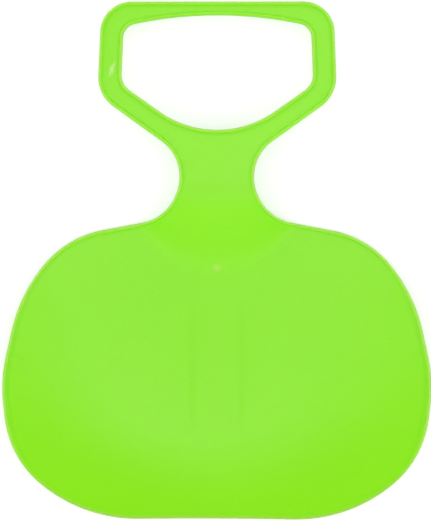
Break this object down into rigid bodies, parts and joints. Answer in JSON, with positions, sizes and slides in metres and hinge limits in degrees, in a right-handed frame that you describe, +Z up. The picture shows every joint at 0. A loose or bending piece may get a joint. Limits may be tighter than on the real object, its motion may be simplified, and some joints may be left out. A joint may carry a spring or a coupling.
{
  "type": "snow slider",
  "caption": "One-piece moulded snow slider: a shallow dished seat pan with a raised tail, a ramped neck and a loop handle held between the legs.",
  "frame": {"origin": "on the ground, under the middle of the part's bounding box", "axes": "+X across the width, +Y from the tail towards the handle, +Z up out of the seat"},
  "size_m": [0.3896, 0.466, 0.0512],
  "materials": {
    "green_plastic": "gloss"
  },
  "bodies": {
    "root": {"sled_shell": "green_plastic"}
  },
  "joints": []
}
